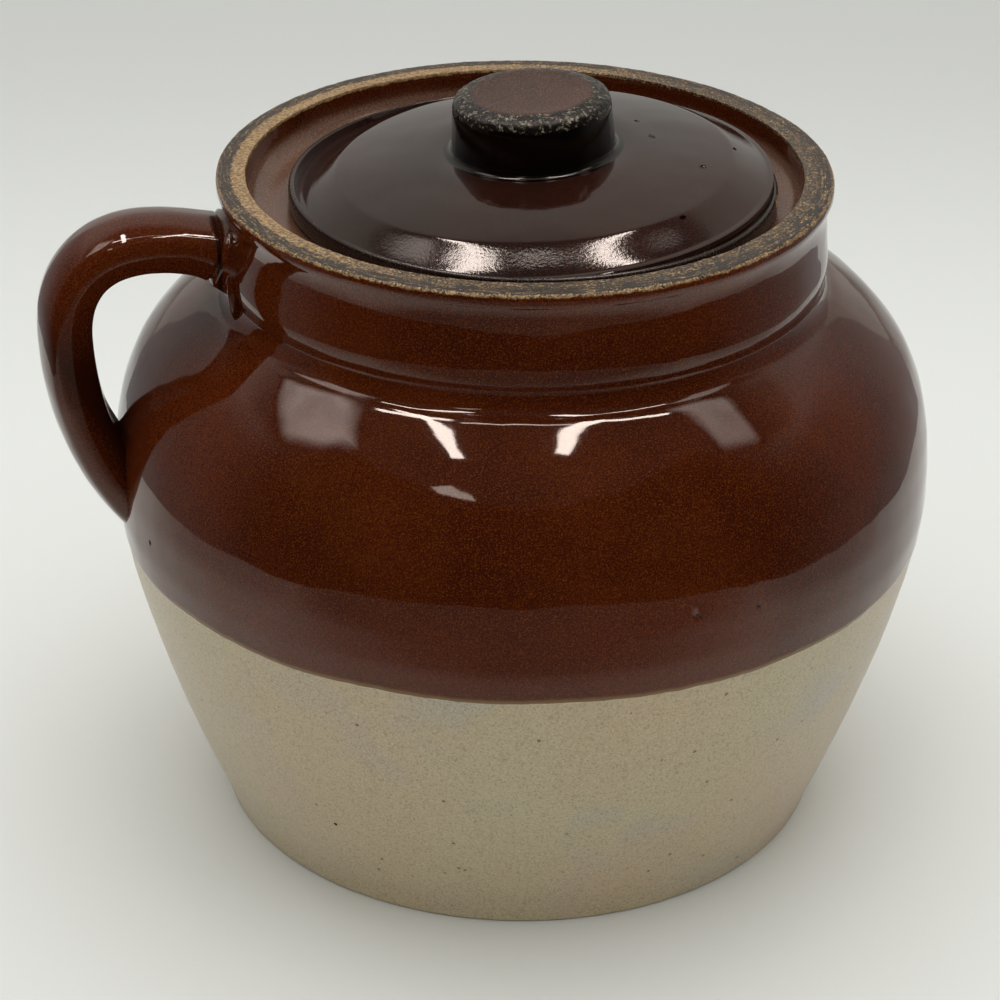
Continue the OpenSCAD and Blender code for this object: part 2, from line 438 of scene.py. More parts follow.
class Layout:
    """Nodes under way in a material or in the world: short calls that lay them out."""

    def __init__(self, tree: bpy.types.NodeTree, source: str,
                 centre: Place = (0.0, 0.0, 0.0), lean: float = 0.0) -> None:
        """Lays out where a place is.

        Args:
            tree: The node tree.
            source: The texture coordinate that gives the place.
            centre: Where the pattern is centred.
            lean: How far the pattern leans towards -X, in degrees.
        """
        self.tree = tree
        start = self.put("TexCoord", {}, source)
        self.place = self.put("Mapping", {
            "Vector": start, "Location": centre,
            "Rotation": (0.0, -math.radians(lean), 0.0)}, vector_type="TEXTURE")
        parts = self.node("SeparateXYZ", {0: self.place})
        self.x, self.y, self.height = (Value(self, part) for part in parts.outputs)
        self.radius = self.sums("SQRT", self.x * self.x + self.y * self.y)

    def join(self, value: Input, socket: Socket) -> None:
        """Links a value to a socket, or sets the socket to it.

        Args:
            value: The value, number, place or colour.
            socket: The socket that takes it.
        """
        if isinstance(value, Value):
            self.tree.links.new(value.socket, socket)
        else:
            socket.default_value = (*value, 1.0) if socket.type == "RGBA" else value

    def node(self, kind: str, inputs: dict[int | str, Input], **options: str) -> bpy.types.Node:
        """Lays out a node.

        Args:
            kind: Its kind, without the leading ShaderNode.
            inputs: What goes into its sockets.
            options: Its other settings.

        Returns:
            The node.
        """
        node = self.tree.nodes.new("ShaderNode" + kind)
        for name, option in options.items():
            setattr(node, name, option)
        for key, value in inputs.items():
            self.join(value, node.inputs[key])
        return node

    def put(self, kind: str, inputs: dict[int | str, Input], output: int | str = 0,
            **options: str) -> Value:
        """Lays out a node and gives one of its outputs."""
        return Value(self, self.node(kind, inputs, **options).outputs[output])

    def sums(self, operation: str, a: Number, b: Number = 0.0) -> Value:
        """A Math node's result."""
        return self.put("Math", {0: a, 1: b}, operation=operation)

    def most(self, first: Number, *others: Number) -> Value:
        """The greatest of some values."""
        for other in others:
            first = self.sums("MAXIMUM", first, other)
        return first

    def noise(self, scale: float, detail: float = 2.0, rough: float = 0.5,
              at: Value | None = None) -> Value:
        """Noise round 0.5.

        Args:
            scale: Lumps a metre.
            detail: How many finer layers it has.
            rough: How strong the finer layers are.
            at: The place that it is read at, or None for the pattern's own.

        Returns:
            The noise.
        """
        return self.put("TexNoise", {"Vector": at or self.place, "Scale": scale,
                                     "Detail": detail, "Roughness": rough}, "Fac")

    def wander(self, reach: float, scale: float, detail: float, rough: float = 0.5) -> Value:
        """Noise round 0 that is at most reach wide, to make a line waver."""
        return (self.noise(scale, detail, rough) - 0.5) * reach

    def cells(self, scale: float) -> Value:
        """The distance to the nearest of scattered points, scale points a metre."""
        return self.put("TexVoronoi", {"Vector": self.place, "Scale": scale}, "Distance")

    def streaks(self, across: float, along: float) -> Value:
        """Noise drawn out into streaks round the axis.

        Args:
            across: Streaks a metre, going outwards.
            along: How quickly they change round the axis, in lumps a radian.

        Returns:
            The noise.
        """
        turn = self.sums("ARCTAN2", self.y, self.x)
        at = self.put("CombineXYZ", {0: self.radius * across,
                                     1: self.sums("COSINE", turn) * along,
                                     2: self.sums("SINE", turn) * along})
        return self.noise(1.0, 3, 0.6, at)

    def spread(self, value: Value, ends: Sequence[float], kind: str) -> Value:
        """Spreads a value over another range.

        Args:
            value: The value.
            ends: The low and high end of its own range, and of the new one.
            kind: The way between them.

        Returns:
            The value in the new range.
        """
        names = ("From Min", "From Max", "To Min", "To Max")
        return self.put("MapRange", {"Value": value, **dict(zip(names, ends))}, "Result",
                        interpolation_type=kind)

    def band(self, value: Value, low: float, high: float) -> Value:
        """A smooth rise from 0 at low to 1 at high, or a fall where low is above high."""
        ends = (low, high, 0.0, 1.0) if low <= high else (high, low, 1.0, 0.0)
        return self.spread(value, ends, "SMOOTHSTEP")

    def level(self, value: Value, low: float, high: float) -> Value:
        """A factor from 0 to 1 spread evenly from low to high."""
        return self.spread(value, (0.0, 1.0, low, high), "LINEAR")

    def blend(self, share: Number, a: Tint, b: Tint) -> Value:
        """Colour a, going over to colour b with the share."""
        return self.put("Mix", {"Factor": share, "A": a, "B": b}, "Result", data_type="RGBA")

    def slide(self, share: Number, a: Number, b: Number) -> Value:
        """Number a, going over to number b with the share."""
        return self.put("Mix", {"Factor": share, "A": a, "B": b}, "Result", data_type="FLOAT")

    def coat(self, colour: Tint, *coats: Coat) -> Tint:
        """Lays coats over a colour, one after the other."""
        for coat in coats:
            shown = self.band(coat.pattern, coat.low, coat.high) * coat.share
            colour = self.blend(shown, colour, coat.colour)
        return colour


class Recipe(Layout):
    """A material under way."""

    def __init__(self, name: str, centre: Place = (0.0, 0.0, 0.0), lean: float = 0.0) -> None:
        """Starts a material.

        Args:
            name: The material's name.
            centre: Where its pattern is centred.
            lean: How far the pattern leans towards -X, in degrees.
        """
        self.material = bpy.data.materials.new(name)
        self.material.use_nodes = True
        super().__init__(self.material.node_tree, "Object", centre, lean)
        self.shader = self.tree.nodes["Principled BSDF"]

    def lay_over(self, share: Number, under: Surface, over: Surface) -> Surface:
        """One finish going over to another.

        Args:
            share: How far it has gone over.
            under: The finish at 0.
            over: The finish at 1.

        Returns:
            The finish between them.
        """
        return Surface(self.blend(share, under.colour, over.colour),
                       self.slide(share, under.gloss, over.gloss),
                       self.slide(share, under.relief, over.relief))

    def fire(self, surface: Surface, sheen: Colour = (1.0, 1.0, 1.0),
             mirror: float = 1.5) -> Material:
        """Shades the finished surface.

        Args:
            surface: The colour, gloss and relief.
            sheen: The tint of what it mirrors when seen straight on.
            mirror: The glaze's refractive index: how strongly it mirrors.

        Returns:
            The material.
        """
        relief = self.put("Bump", {"Distance": 1.0, "Height": surface.relief})
        parts = {"Base Color": surface.colour, "Roughness": surface.gloss, "Normal": relief,
                 "IOR": mirror, "Specular Tint": sheen}
        for name, value in parts.items():
            self.join(value, self.shader.inputs[name])
        return self.material

    def glow(self, tone: Value, solid: Number = 1.0) -> Material:
        """Makes the material glow by itself instead of shading it.

        Args:
            tone: How bright it glows.
            solid: How solid it is, from 0 (clear) to 1.

        Returns:
            The material.
        """
        self.tree.nodes.remove(self.shader)
        clear = self.put("BsdfTransparent", {})
        light = self.put("Emission", {"Strength": tone})
        both = self.put("MixShader", {0: solid, 1: clear, 2: light})
        self.join(both, self.tree.nodes["Material Output"].inputs["Surface"])
        return self.material


# ---------------------------------------------------------------- finishes


IRON_SHEEN = (1.0, 0.84, 0.74)


@dataclass(frozen=True)
class SlipGlaze:
    """Glossy iron-brown slip glaze, amber where it is thin."""

    thick: Colour = (0.036, 0.0055, 0.0018)
    usual: Colour = (0.066, 0.0108, 0.0026)
    thin: Colour = (0.125, 0.030, 0.005)
    gloss: float = 0.045
    peel: float = 0.000006

    def lay(self, recipe: Recipe) -> Surface:
        """Lays the finish out in a recipe.

        Args:
            recipe: The material under way.

        Returns:
            The finish's surface.
        """
        clouds = recipe.band(recipe.noise(17, 3, 0.55), 0.36, 0.62)
        grain = recipe.noise(2600, 2, 0.7)
        colour = recipe.coat(recipe.blend(clouds, self.thick, self.usual),
                             Coat(recipe.noise(26, 3, 0.6), 0.5, 0.75, 0.2, self.thin),
                             Coat(recipe.noise(950, 3, 0.7), 0.48, 0.66, 0.55, self.thick),
                             Coat(grain, 0.5, 0.64, 0.8, self.thin),
                             Coat(grain, 0.46, 0.34, 0.9, self.thick))
        orange_peel = recipe.noise(300) * self.peel + grain * (self.peel * 0.2)
        return Surface(colour, recipe.level(grain, self.gloss * 0.6, self.gloss * 1.5),
                       orange_peel)


@dataclass(frozen=True)
class BuffGlaze:
    """Clear glaze over buff clay: semi-gloss, finely speckled, clouded with grey and pink."""

    clay: Colour = (0.45, 0.385, 0.25)
    grey: Colour = (0.37, 0.36, 0.315)
    warm: Colour = (0.47, 0.36, 0.23)
    shade: Colour = (0.22, 0.18, 0.12)
    light: Colour = (0.58, 0.52, 0.39)
    speck: Colour = (0.11, 0.08, 0.05)
    gloss: float = 0.3
    peel: float = 0.000012

    def lay(self, recipe: Recipe) -> Surface:
        """Lays the finish out in a recipe.

        Args:
            recipe: The material under way.

        Returns:
            The finish's surface.
        """
        grain = recipe.noise(1700, 2, 0.7)
        low_down = recipe.band(recipe.height, 0.05, 0.01)
        warmth = recipe.band(recipe.noise(20), 0.4, 0.65) * 0.6 + low_down * 0.4
        iron = recipe.band(recipe.cells(210), 0.13, 0.08) \
            * recipe.band(recipe.noise(90, 1), 0.56, 0.6)
        colour = recipe.coat(self.clay, Coat(recipe.noise(38), 0.48, 0.66, 0.8, self.grey))
        colour = recipe.coat(recipe.blend(warmth, colour, self.warm),
                             Coat(recipe.noise(420, 3, 0.65), 0.52, 0.7, 0.22, self.shade),
                             Coat(grain, 0.54, 0.68, 0.7, self.shade),
                             Coat(grain, 0.45, 0.32, 0.6, self.light))
        return Surface(recipe.blend(iron * 0.85, colour, self.speck),
                       recipe.level(grain, self.gloss * 0.8, self.gloss * 1.2),
                       recipe.noise(240) * self.peel + grain * (self.peel * 0.5))


@dataclass(frozen=True)
class BareClay:
    """Fired clay where the glaze is worn or wiped off: dry, ochre, with dark flecks."""

    clay: Colour = (0.23, 0.13, 0.055)
    pale: Colour = (0.48, 0.315, 0.14)
    dark: Colour = (0.018, 0.011, 0.008)
    gloss: float = 0.6
    fleck_gloss: float = 0.38
    fleck_scale: float = 1900.0
    grit: float = 0.00008

    def lay(self, recipe: Recipe, wear: Value) -> Surface:
        """Lays the finish out in a recipe.

        Args:
            recipe: The material under way.
            wear: How much bare clay shows, from 0 (hardly any) to 1 (all bare).

        Returns:
            The finish's surface.
        """
        grain = recipe.noise(self.fleck_scale, 3, 0.75)
        mottle = recipe.band(recipe.noise(self.fleck_scale * 0.6, 2, 0.6), 0.36, 0.66)
        shown = recipe.band(grain + wear * 0.45, 0.64, 0.73)
        return Surface(recipe.blend(shown, self.dark, recipe.blend(mottle, self.clay, self.pale)),
                       recipe.slide(shown, self.fleck_gloss, self.gloss),
                       (grain - shown * 0.5) * self.grit)


# ---------------------------------------------------------------- the pot


@dataclass
class Pot:
    """The turned jar, with its rim, the lid's ledge and two glazes."""

    belly_r: float
    rim_h: float
    foot_r: float = 0.082
    belly_h: float = 0.092
    shoulder_h: float = 0.1475
    glaze_h: float = 0.0825
    glaze_t: float = 0.00018
    glaze_blend: float = 0.0004
    wall: float = 0.0082
    floor_t: float = 0.010
    floor_round: float = 0.016
    foot_round: float = 0.0016
    foot_flat_h: float = 0.004
    foot_lean: float = 0.43
    foot_pull: float = 0.030
    belly_pull_low: float = 0.018
    belly_pull_high: float = 0.031
    shoulder_lean: float = 1.6
    shoulder_pull: float = 0.013
    shoulder_flat: float = 0.00026
    shoulder_flat_w: float = 0.003
    neck_r: float = 0.0778
    neck_fillet: float = 0.003
    neck_waist: float = 0.0022
    rim_r: float = 0.079
    rim_w: float = 0.0084
    rim_round: float = 0.0016
    lip_h: float = 0.003
    seat_depth: float = 0.0093
    seat_cove: float = 0.006
    seat_edge: float = 0.001
    throat_r: float = 0.0575
    throat_h: float = 0.006
    ledge_round: float = 0.002
    turn_steps: int = 448
    ripple: float = 0.00004
    ripple_pitch: float = 0.0093
    waves: tuple[Lumps, ...] = (Lumps(0.0005, 0.05), Lumps(0.00022, 0.014))
    rim_wear: Lumps = Lumps(0.00028, 0.0016, 0.9)
    fringe: Colour = (0.15, 0.085, 0.03)
    inner_glaze: SlipGlaze = SlipGlaze(
        thick=(0.10, 0.038, 0.022), usual=(0.155, 0.075, 0.046), thin=(0.21, 0.125, 0.08),
        gloss=0.2, peel=0.00001)
    holes: tuple[Hole, ...] = (
        Hole(-163.6, 0.1079, 0.0955, 0.0017, 0.0006),
        Hole(-123.7, 0.1075, 0.1059, 0.0013, 0.0005),
        Hole(-80.1, 0.1076, 0.1029, 0.0016, 0.0006, 1.5),
        Hole(-71.1, 0.1078, 0.1010, 0.0014, 0.0006),
        Hole(-126.9, 0.1073, 0.1090, 0.0006, 0.0005, 1.0, 15.0),
        Hole(-118.0, 0.0785, 0.1768, 0.0016, 0.0009, 1.4),
        Hole(-133.8, 0.0915, 0.0282, 0.0012, 0.0004),
        Hole(-91.4, 0.1045, 0.0602, 0.0010, 0.0004),
    )

    @property
    def inner_r(self) -> float:
        """The radius of the rim's inner edge."""
        return self.rim_r - self.rim_w

    @property
    def throat_low(self) -> float:
        """The height of the throat's lower edge."""
        return self.rim_h - self.seat_depth - self.throat_h

    def low_wall(self, inset: float, start: float) -> list[Point]:
        """The wall from low down up to the belly, set in from the outside.

        Args:
            inset: How far it is set in.
            start: The height that it starts at.

        Returns:
            Closely spaced points on it.
        """
        low = (self.foot_r - inset + self.foot_lean * (start - self.foot_round), start)
        belly = (self.belly_r - inset, self.belly_h)
        return curve((low, beside(low, self.foot_lean * self.foot_pull, self.foot_pull),
                      beside(belly, 0, -self.belly_pull_low), belly), 200)

    def high_wall(self, inset: float, end: Point, steps: int) -> list[Point]:
        """The wall from the belly over the shoulder.

        Args:
            inset: How far it is set in from the outside.
            end: Where it ends.
            steps: How many steps it has.

        Returns:
            Points on it.
        """
        belly = (self.belly_r - inset, self.belly_h)
        pull = self.shoulder_pull
        return curve((belly, beside(belly, 0, self.belly_pull_high),
                      beside(end, self.shoulder_lean * pull, -pull), end), steps)

    def glazed_wall(self) -> list[Point]:
        """The outer wall below the belly, with the step at the edge of the brown glaze.

        Returns:
            Points on it, closest together at the step.
        """
        dense = self.low_wall(0, self.foot_round)
        edge = self.glaze_h
        heights = (span(self.foot_round, edge - 0.001, 20) + span(edge - 0.0006, edge + 0.0006, 4)
                   + span(edge + 0.0015, self.belly_h, 4))
        points = []
        for height in heights:
            after = next(i for i, p in enumerate(dense) if p[1] >= height - MERGE)
            a, b = dense[max(after - 1, 0)], dense[after]
            t = 0 if b[1] == a[1] else (height - a[1]) / (b[1] - a[1])
            bare = 1 - swell(height, edge - self.glaze_blend, edge + self.glaze_blend)
            points.append((a[0] + (b[0] - a[0]) * t - self.glaze_t * bare, height))
        return points

    def outside(self) -> list[Point]:
        """The jar's outer side.

        Returns:
            Points from the foot's edge up to the lip.
        """
        slope = math.hypot(self.shoulder_lean, 1)
        shoulder = (self.neck_r + self.neck_fillet * self.shoulder_lean / slope,
                    self.shoulder_h - self.neck_fillet / slope)
        neck = (self.neck_r, self.shoulder_h + self.neck_fillet)
        lip = (self.rim_r, self.rim_h - self.lip_h)
        third = (lip[1] - neck[1]) / 3
        points = round_off((self.foot_r, 0), (-self.foot_round, 0), (0, self.foot_round), 6)
        points += self.glazed_wall()[1:]
        flat_r = shoulder[0] + self.shoulder_flat_w
        for i, (r, z) in enumerate(self.high_wall(0, shoulder, 120)[1:]):
            if i % 4 == 3 or r < flat_r:
                drop = max(0.0, (flat_r - r) / self.shoulder_flat_w) ** 2
                points.append((r, z - self.shoulder_flat * drop))
        rise = 1 / self.shoulder_lean - 2 * self.shoulder_flat / self.shoulder_flat_w
        end = points[-1]
        points += curve((end, (self.neck_r, end[1] + (end[0] - self.neck_r) * rise), neck), 14)[1:]
        points += curve((neck, beside(neck, self.neck_waist, third),
                         (self.neck_r - self.neck_waist, lip[1] - third), lip), 20)[1:]
        return [(r - self.ripple * (1 + math.sin(math.tau * z / self.ripple_pitch)), z)
                for r, z in points]

    def rim(self) -> list[Point]:
        """The rim, the lid's ledge and the throat.

        Returns:
            Points from the rim's outer edge to below the throat.
        """
        seat = self.rim_h - self.seat_depth
        small = self.rim_round / 2
        points = round_off((self.rim_r, self.rim_h), (0, -self.rim_round), (-self.rim_round, 0), 5)
        points += [(r, self.rim_h) for r in
                   span(self.rim_r - self.rim_round, self.inner_r + small, 10)[1:-1]]
        points += round_off((self.inner_r, self.rim_h), (small, 0), (0, -small), 4)
        points += round_off((self.inner_r, seat), (0, self.seat_cove), (-self.seat_cove, 0), 8)
        points += round_off((self.throat_r, seat), (self.seat_edge, 0), (0, -self.seat_edge), 3)
        points += round_off((self.throat_r, self.throat_low - self.ledge_round),
                            (0, self.ledge_round), (self.ledge_round, -self.ledge_round), 3)
        return points

    def hollow(self) -> list[Point]:
        """The jar's inside.

        Returns:
            Points from below the throat down to the floor.
        """
        neck_in = self.neck_r - self.wall
        points = [(neck_in, self.throat_low - self.ledge_round - (neck_in - self.throat_r))]
        points += self.high_wall(self.wall, (neck_in, self.shoulder_h - self.wall / 2), 14)[::-1]
        low = self.low_wall(self.wall, self.floor_t + self.floor_round)
        points += low[::-14][1:]
        corner = (self.foot_r - self.wall + self.foot_lean * (self.floor_t - self.foot_round),
                  self.floor_t)
        return points + curve((low[0], corner, beside(corner, -self.floor_round, 0)), 5)

    def build(self) -> Piece:
        """Models the jar.

        Returns:
            The jar.
        """
        outline = [(0, 0)] + self.outside() + self.rim() + self.hollow() + [(0, self.floor_t)]
        pot = spin_outline("pot_body_turned", outline, self.turn_steps)
        for lumps in self.waves:
            roughen(pot, lumps, lambda at: float(at.z > self.foot_flat_h))
        roughen(pot, self.rim_wear, self.rim_share)
        pot.data.materials.append(self.finish())
        punch(pot, self.holes, self.shaded_pit_finish())
        smooth(pot, 40)
        return pot

    def rim_share(self, at: Vector) -> float:
        """How worn the rim is at a place, from 0 to 1."""
        on_top = swell(at.z, self.rim_h - self.rim_round, self.rim_h - self.rim_round / 2)
        return on_top * swell(math.hypot(at.x, at.y), self.inner_r - 0.0006, self.inner_r)

    def finish(self) -> Material:
        """The jar's finish: brown above, buff below, bare clay along the worn rim.

        Returns:
            The material.
        """
        recipe = Recipe("pot_glazes")
        brown = SlipGlaze().lay(recipe)
        line = recipe.height + recipe.wander(0.0022, 34, 1) + recipe.wander(0.0007, 190, 1)
        edge = self.glaze_h
        full = recipe.band(line, edge + 0.0004, edge + 0.0017)
        brown = replace(brown, colour=recipe.blend(full, self.fringe, brown.colour))
        glazed = recipe.lay_over(recipe.band(line, edge - 0.00008, edge + 0.00008),
                                 BuffGlaze().lay(recipe), brown)
        return recipe.fire(self.wear_rim(recipe, self.dull_inside(recipe, glazed)), IRON_SHEEN)

    def dull_inside(self, recipe: Recipe, glazed: Surface) -> Surface:
        """Lays the thin, dull glaze of the inside over the outer finish.

        Args:
            recipe: The material under way.
            glazed: The outer finish.

        Returns:
            Both in one.
        """
        inside = recipe.band(recipe.radius, self.inner_r + 0.0004, self.inner_r - 0.0002) \
            * recipe.band(recipe.height, self.glaze_h + 0.02, self.glaze_h + 0.03)
        return recipe.lay_over(inside, glazed, self.inner_glaze.lay(recipe))

    def wear_rim(self, recipe: Recipe, glazed: Surface) -> Surface:
        """Wears the rim's flat top down to speckled clay, more on its inner half, with painted
        light: the inner band shows more pale clay towards the left-back.

        Args:
            recipe: The material under way.
            glazed: The finish that is worn.

        Returns:
            The worn finish.
        """
        inner_r, rim_r, rim_h = self.inner_r, self.rim_r, self.rim_h
        nibble = recipe.wander(0.0016, 420, 3, 0.65)
        radius = recipe.radius + nibble
        # painted light: the inner band's pale clay spreads wider towards the left-back, the side
        # the light falls on, over the real wear
        far_left = (recipe.y * 0.6 - recipe.x * 0.8) / rim_r
        wear_and_side_light = recipe.band(far_left, -0.35, 0.65) * 0.34 + 0.28
        wear = recipe.most(recipe.band(radius, inner_r + 0.0050, inner_r + 0.0035) * wear_and_side_light,
                           recipe.band(radius, rim_r - 0.0014, rim_r - 0.0007) * 0.5,
                           recipe.band(recipe.streaks(1900.0, 16.0), 0.42, 0.62) * 0.40)
        on_rim = recipe.band(recipe.height + nibble, rim_h - 0.0015, rim_h - 0.0009) \
            * recipe.band(radius, inner_r - 0.0002, inner_r + 0.0003)
        return recipe.lay_over(on_rim, glazed, BareClay().lay(recipe, wear))

    def shaded_pit_finish(self) -> Material:
        """The inside of a burst bubble, darkened: painted shade in the hollow.

        Returns:
            The material.
        """
        recipe = Recipe("shaded_glaze_pit")
        grain = recipe.noise(2500, 2, 0.6)
        # painted shade: the hollow's inside is darkened
        colour = recipe.blend(recipe.band(grain, 0.35, 0.7), (0.012, 0.006, 0.004),
                              (0.09, 0.05, 0.03))
        return recipe.fire(Surface(colour, recipe.level(grain, 0.4, 0.7), grain * 0.00002))


# ---------------------------------------------------------------- the handle


@dataclass
class Handle:
    """The strap handle, luted on at the neck and the belly."""

    pot: Pot
    width: float = 0.0235
    thickness: float = 0.0142
    crown: tuple[Point, ...] = ((0.0004, 0.42), (0.0012, 0.62), (0.0021, 0.78))
    arch_h: float = 0.1655
    arch_out: float = 0.0192
    arch_pull_in: float = 0.009
    arch_pull_out: float = 0.013
    side_h: float = 0.143
    side_out: float = 0.011
    side_pull_up: float = 0.015
    side_pull_down: float = 0.021
    root_h: float = 0.160
    root_pull: Point = (0.008, 0.003)
    tail_h: float = 0.0905
    tail_pull: Point = (0.016, 0.013)
    bury: float = 0.004
    tail_bury: float = 0.010
    spread_w: float = 0.0046
    spread_t: float = 0.005
    spread_share: float = 0.2
    rings: int = 34
    seam_out: float = 0.0026
    seam_half_w: float = 0.0004
    seam_depth: float = 0.0008
    collar: float = 0.0006
    drip_at: Place = (-0.0772, 0.0122, 0.1525)
    drip_size: Point = (0.0020, 0.0017)
    drip_lengths: Point = (0.0072, 0.006)
    drip_lean: float = -6.0
    waves: tuple[Lumps, ...] = (Lumps(0.0006, 0.022), Lumps(0.00012, 0.006))
    # painted shade for the strap's inner side low down
    painted_inner_shade: Colour = (0.009, 0.002, 0.001)
    seam_dark: Colour = (0.006, 0.003, 0.002)

    def line(self) -> list[Point]:
        """The middle of the strap.

        Returns:
            Points from the root to the tail, as (distance out from the axis, height).
        """
        root = (self.pot.neck_r - self.bury, self.root_h)
        arch = (self.pot.neck_r + self.arch_out, self.arch_h)
        side = (self.pot.belly_r + self.side_out, self.side_h)
        tail = (self.pot.belly_r - self.tail_bury, self.tail_h)
        points = [root]
        for ends in ((root, beside(root, *self.root_pull),
                      beside(arch, -self.arch_pull_in, 0), arch),
                     (arch, beside(arch, self.arch_pull_out, 0),
                      beside(side, 0, self.side_pull_up), side),
                     (side, beside(side, 0, -self.side_pull_down),
                      beside(tail, *self.tail_pull), tail)):
            points += curve(ends, self.rings)[1:]
        return points

    def section(self) -> list[Point]:
        """The strap's section: crowned outside, flat inside.

        Returns:
            Points round it, as (outwards, sideways).
        """
        half_t, half_w = self.thickness / 2, self.width / 2
        crown = [(half_t - fall, half_w * share) for fall, share in self.crown]
        edge = (0.0002, half_w)
        right = curve([(half_t, 0)] + crown, 8)
        right += curve((crown[-1], (half_t - 0.0033, half_w - 0.0003), edge), 7)[1:]
        right += curve((edge, beside(edge, -0.0012, 0.0001), beside(edge, -0.0025, -0.0008)),
                       3)[1:]
        right += round_off((-half_t, half_w - 0.0036), (0.0018, 0.0012), (0, -0.0022), 5)
        right += [(0.0003 - half_t, half_w * 0.35)]
        return right + [(0.0005 - half_t, 0)] + [(t, -w) for t, w in right[:0:-1]]

    def build(self) -> Piece:
        """Models the strap ring by ring along its line.

        Returns:
            The handle.
        """
        line, section = self.line(), self.section()
        handle = start_point("handle_strap", (-section[0][0], section[0][1], 0))
        for a, b in zip(section, section[1:]):
            extrude((a[0] - b[0], b[1] - a[1], 0))
        select_mesh()
        bpy.ops.mesh.edge_face_add()
        select_mesh()
        bpy.ops.mesh.delete(type="ONLY_FACE")
        select_mesh()
        for _ in line[1:]:
            extrude((0, 0, -MM))
        bpy.ops.object.mode_set(mode="OBJECT")
        self.lay_rings(handle, line, len(section))
        bpy.ops.object.mode_set(mode="EDIT")
        bpy.ops.mesh.select_all(action="DESELECT")
        bpy.ops.mesh.select_non_manifold()
        bpy.ops.mesh.edge_face_add()
        close_up()
        self.add_drips(handle)
        for lumps in self.waves:
            roughen(handle, lumps, lambda at: 1.0)
        handle.data.materials.append(self.finish())
        smooth(handle, 60)
        return handle

    def add_drips(self, handle: Piece) -> None:
        """Runs a drip of slip from each of the handle's upper corners down the neck.

        Args:
            handle: The strap.
        """
        x, y, z = self.drip_at
        lean = Matrix.Rotation(math.radians(self.drip_lean), 4, "Y")
        for side, length in zip((-1, 1), self.drip_lengths):
            put_down_all()
            bpy.ops.mesh.primitive_uv_sphere_add(segments=24, ring_count=16, radius=1.0,
                                                 location=(0, 0, 0))
            drip = bpy.context.active_object
            drip.data.transform(Matrix.Translation((x, side * y, z)) @ lean
                                @ Matrix.Diagonal((*self.drip_size, length, 1)))
            combine(handle, drip, Joining.UNITE)

    def lay_rings(self, handle: Piece, line: Sequence[Point], count: int) -> None:
        """Lays the strap's rings along its line, spread where its ends meet the pot.

        The last stretch is kept inside the pot's wall, so nothing shows in its hollow.

        Args:
            handle: The strap, with its rings stacked in order.
            line: The middle of the strap.
            count: Points in a ring.
        """
        points = sorted(handle.data.vertices, key=lambda v: (-round(v.co.z / MM), v.index))
        in_wall = self.pot.belly_r - self.pot.wall / 2
        last = len(line) - 1
        for i, middle in enumerate(line):
            before, after = line[max(i - 1, 0)], line[min(i + 1, last)]
            run = (after[0] - before[0], after[1] - before[1])
            length = math.hypot(*run)
            along = (run[0] / length, run[1] / length)
            spread = max(0.0, 1 - min(i, last - i) / (len(line) * self.spread_share)) ** 2
            past_seam = middle[0] - self.pot.neck_r - self.seam_out if i < self.rings else 1.0
            pinch = self.collar * (past_seam < 0)
            if abs(past_seam) < self.seam_half_w:
                pinch = -self.seam_depth
            grow_t = 1 + (self.spread_t * spread + 2 * pinch) / self.thickness
            grow_w = 1 + (self.spread_w * spread + 2 * pinch) / self.width
            for point in points[i * count:(i + 1) * count]:
                out, side = -point.co.x * grow_t, point.co.y * grow_w
                reach = middle[0] - along[1] * out
                if i > 2 * self.rings:
                    reach = max(reach, math.sqrt(in_wall ** 2 - side ** 2))
                point.co = (-reach, side, middle[1] + along[0] * out)

    def finish(self) -> Material:
        """The handle's brown glaze, with painted shade low on its inner side, and dark along its
        seam.

        Returns:
            The material.
        """
        recipe = Recipe("handle_glaze")
        glaze = SlipGlaze().lay(recipe)
        # painted shade: darker low down on the strap's inner side, which faces the pot
        inward = recipe.band(recipe.x + recipe.height * 0.5, -0.059, -0.050)
        painted_inner_shade = recipe.band(recipe.height, 0.158, 0.130) * recipe.level(inward, 0.25, 0.9)
        gap = abs(recipe.x + (self.pot.neck_r + self.seam_out))
        seam = recipe.band(gap, 0.0008, 0.0003) \
            * recipe.band(recipe.height, self.root_h - 0.02, self.root_h - 0.015)
        colour = recipe.blend(seam * 0.85, recipe.blend(painted_inner_shade, glaze.colour, self.painted_inner_shade),
                              self.seam_dark)
        return recipe.fire(replace(glaze, colour=colour), IRON_SHEEN)


# ---------------------------------------------------------------- the lid


